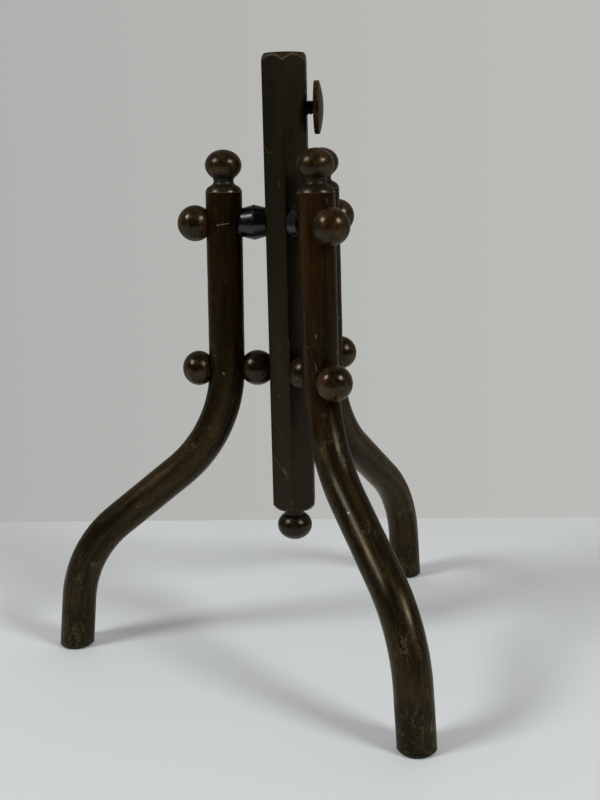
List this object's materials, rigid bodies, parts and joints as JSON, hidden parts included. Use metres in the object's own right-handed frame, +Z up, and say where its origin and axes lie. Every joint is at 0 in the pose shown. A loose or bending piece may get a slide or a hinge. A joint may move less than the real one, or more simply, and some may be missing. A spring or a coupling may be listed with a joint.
{
  "type": "tripod stand",
  "caption": "Small dark brass tripod stand: hollow six-sided post on three bent tube legs, tied by ball nuts, with a disc-headed clamp screw for a rod.",
  "frame": {"origin": "on the floor under the post's axis, at the centre of the three feet", "axes": "+Z up along the post; -Y towards the front leg; the clamp screw points 60 degrees from -Y towards +X"},
  "size_m": [0.1598, 0.14, 0.2149],
  "materials": {
    "leg_brass": "dark brown patina with reddish streaks and worn olive patches",
    "ball_brass": "dark brown patina, mottled, semi-gloss",
    "post_bronze": "smooth dark grey-brown patina with fine scratches",
    "black_spacer": "polished black, turned",
    "stud_steel": "dull threaded steel",
    "screw_shank": "blackened steel",
    "disc_copper": "reddish brown patina, worn at the rim"
  },
  "bodies": {
    "stand": {"hex_post": "post_bronze", "post_finial": "ball_brass", "leg_tube_front": "leg_brass", "leg_finial_front": "ball_brass", "foot_plug_front": "leg_brass", "upper_spacer_front": "black_spacer", "lower_spacer_front": "ball_brass", "upper_stud_front": "stud_steel", "lower_stud_front": "stud_steel", "upper_ball_nut_front": "ball_brass", "lower_ball_nut_front": "ball_brass", "leg_tube_rear_left": "leg_brass", "leg_finial_rear_left": "ball_brass", "foot_plug_rear_left": "leg_brass", "upper_spacer_rear_left": "black_spacer", "lower_spacer_rear_left": "ball_brass", "upper_stud_rear_left": "stud_steel", "lower_stud_rear_left": "stud_steel", "upper_ball_nut_rear_left": "ball_brass", "lower_ball_nut_rear_left": "ball_brass", "leg_tube_rear_right": "leg_brass", "leg_finial_rear_right": "ball_brass", "foot_plug_rear_right": "leg_brass", "upper_spacer_rear_right": "black_spacer", "lower_spacer_rear_right": "ball_brass", "upper_stud_rear_right": "stud_steel", "lower_stud_rear_right": "stud_steel", "upper_ball_nut_rear_right": "ball_brass", "lower_ball_nut_rear_right": "ball_brass"},
    "clamp_shank": {"clamp_screw_shank": "screw_shank"},
    "clamp_disc": {"clamp_screw_disc": "disc_copper"}
  },
  "joints": [
    {"name": "screw_travel", "type": "slide", "parent": "stand", "child": "clamp_shank", "axis": [-0.866, 0.5, 0], "range_m": [-0.00212, 0.00189]},
    {"name": "screw_turn", "type": "hinge", "parent": "clamp_shank", "child": "clamp_disc", "pos_m": [0.00866, -0.005, 0.197], "axis": [-0.866, 0.5, 0], "range_deg": [-720, 640]}
  ],
  "couplings": [
    {"joint": "screw_travel", "follows": "screw_turn", "m_per_rad": 0.00016844}
  ]
}
